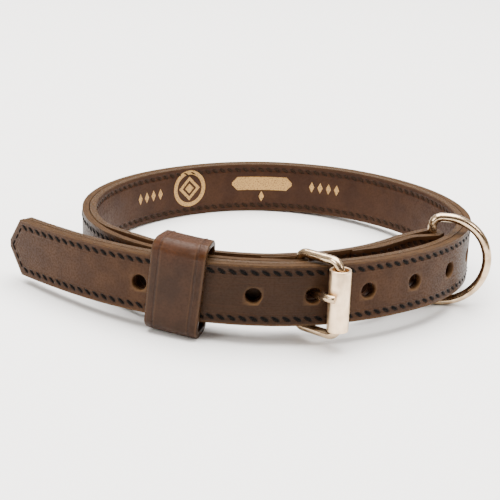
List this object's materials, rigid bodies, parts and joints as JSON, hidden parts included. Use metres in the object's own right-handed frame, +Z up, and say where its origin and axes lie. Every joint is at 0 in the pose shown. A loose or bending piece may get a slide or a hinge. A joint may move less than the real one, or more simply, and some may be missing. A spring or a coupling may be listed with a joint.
{
  "type": "dog collar",
  "caption": "Leather dog collar, buckled into a loop, with a nickel roller buckle, leather keeper, punched pointed tail and a D-ring for the leash.",
  "frame": {"origin": "middle of the bounding box, at the floor the collar rests on", "axes": "+Z up, +X to the right across the loop as seen from the buckle side, +Y from the buckle side to the back of the loop"},
  "size_m": [0.2124, 0.1832, 0.0423],
  "materials": {
    "outer_leather": "matt, worn",
    "lining_leather": "smooth, satin",
    "keeper_leather": "matt, worn",
    "frame_nickel": "bright plated",
    "roller_nickel": "bright plated, handled",
    "prong_nickel": "bright plated",
    "ring_nickel": "bright plated, handled"
  },
  "bodies": {
    "collar": {"strap_outer_ply": "outer_leather", "strap_lining_ply": "lining_leather", "keeper_loop": "keeper_leather", "buckle_frame": "frame_nickel", "buckle_roller": "roller_nickel", "buckle_prong": "prong_nickel"},
    "ring": {"d_ring": "ring_nickel"}
  },
  "joints": [
    {"name": "ring_swing", "type": "hinge", "parent": "collar", "child": "ring", "pos_m": [0.07939, -0.02966, 0.02101], "axis": [-0.0225, 0.05, 0.9985], "range_deg": [-67, 15]}
  ]
}
